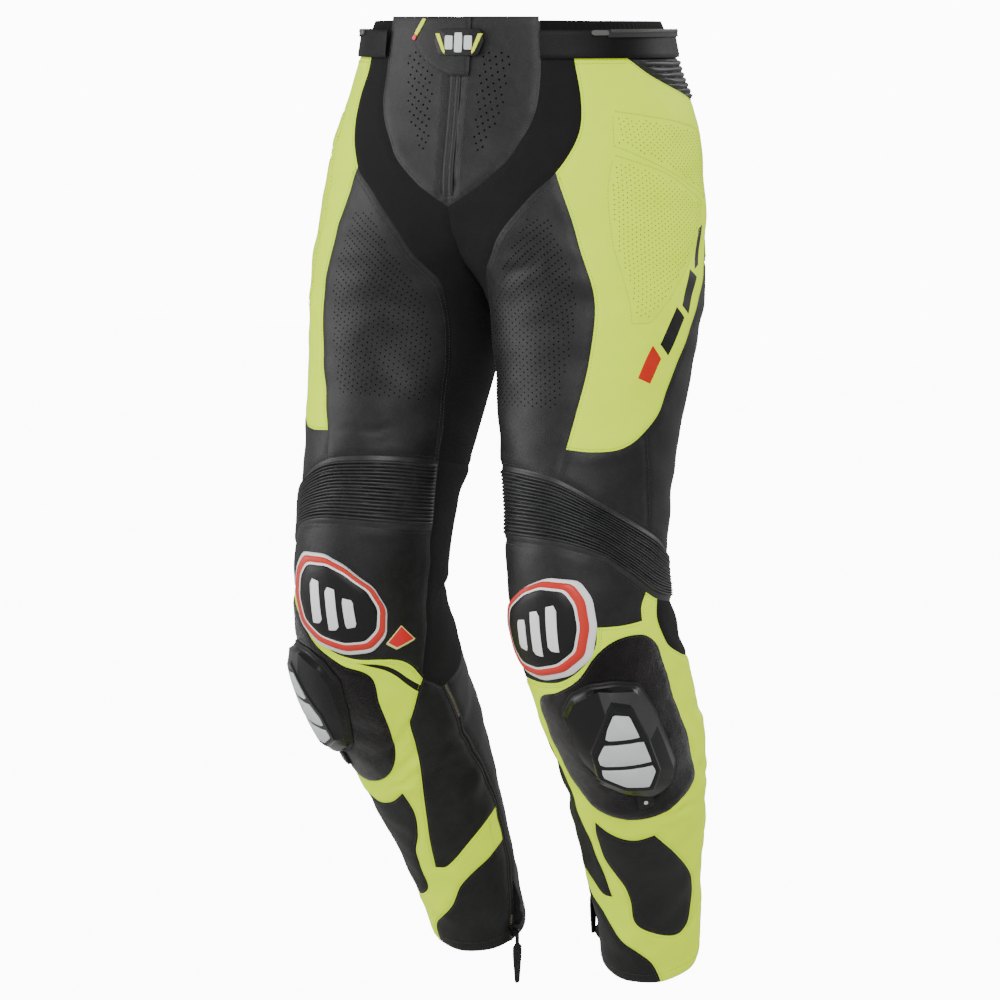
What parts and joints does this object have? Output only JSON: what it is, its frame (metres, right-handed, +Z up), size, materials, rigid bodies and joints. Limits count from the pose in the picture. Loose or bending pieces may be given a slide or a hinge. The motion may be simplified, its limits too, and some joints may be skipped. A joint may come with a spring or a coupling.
{
  "type": "leather motorcycle trousers",
  "caption": "Armoured leather riding trousers with stretch and ribbed panels, raised knee guards, knee sliders on loop patches and zipped calves.",
  "frame": {"origin": "middle of the waist opening, where the wearer's waist holds the trousers", "axes": "+Z up along the body, the front faces -Y, the wearer's left is +X"},
  "size_m": [0.4392, 0.3308, 1.0662],
  "materials": {
    "leather_black": "matt grained black cowhide, perforated in places",
    "leather_neon": "fluorescent yellow pigmented cowhide",
    "stretch_black": "black woven stretch fabric",
    "rib_leather": "black leather sewn in ribs over elastic",
    "loop_patch": "napped hook-and-loop pile",
    "slider_plastic": "glossy moulded black with plain pale bars",
    "shield_rubber": "moulded guard in white, red and black bands",
    "zip_tape": "black zip tape with closed teeth",
    "zip_metal": "black enamelled zinc",
    "badge": "moulded plain red badge",
    "badge_pale": "moulded plain pale badge"
  },
  "bodies": {
    "trousers": {"yoke_L": "leather_black", "inner_stretch_L": "stretch_black", "thigh_neon_L": "leather_neon", "seat_L": "leather_black", "front_thigh_L": "leather_black", "outer_thigh_L": "leather_black", "back_thigh_L": "leather_black", "knee_back_L": "stretch_black", "calf_inner_L": "leather_black", "calf_back_L": "leather_black", "cuff_L": "leather_black", "knee_ribs_L": "rib_leather", "rear_ribs_L": "rib_leather", "knee_panel_L": "leather_black", "knee_shield_L": "shield_rubber", "shin_neon_L": "leather_neon", "shin_leather_L": "leather_black", "loop_patch_L": "loop_patch", "knee_slider_L": "slider_plastic", "calf_zip_L": "zip_tape", "waist_ring_L": "stretch_black", "waist_band_L": "leather_black", "jacket_zip_L": "zip_tape", "zip_slider_L": "zip_metal", "yoke_R": "leather_black", "inner_stretch_R": "stretch_black", "thigh_neon_R": "leather_neon", "seat_R": "leather_black", "front_thigh_R": "leather_black", "outer_thigh_R": "leather_black", "back_thigh_R": "leather_black", "knee_back_R": "stretch_black", "calf_inner_R": "leather_black", "calf_back_R": "leather_black", "cuff_R": "leather_black", "knee_ribs_R": "rib_leather", "rear_ribs_R": "rib_leather", "knee_panel_R": "leather_black", "knee_shield_R": "shield_rubber", "shin_neon_R": "leather_neon", "shin_leather_R": "leather_black", "loop_patch_R": "loop_patch", "knee_slider_R": "slider_plastic", "calf_zip_R": "zip_tape", "waist_ring_R": "stretch_black", "waist_band_R": "leather_black", "jacket_zip_R": "zip_tape", "zip_slider_R": "zip_metal", "fly_zip": "zip_tape", "closure_tab": "leather_black", "closure_badge": "badge_pale", "knee_badge_R": "badge"},
    "zip_tab_left": {"zip_tab_L": "zip_metal"},
    "zip_tab_right": {"zip_tab_R": "zip_metal"}
  },
  "joints": [
    {"name": "left_zip_tab", "type": "hinge", "parent": "trousers", "child": "zip_tab_left", "pos_m": [0.04884, 0.08501, -0.90905], "axis": [0.0711, 0.9975, 0], "range_deg": [0, 140]},
    {"name": "right_zip_tab", "type": "hinge", "parent": "trousers", "child": "zip_tab_right", "pos_m": [-0.04949, 0.08923, -0.98419], "axis": [-0.2662, -0.9639, 0], "range_deg": [0, 140]}
  ]
}
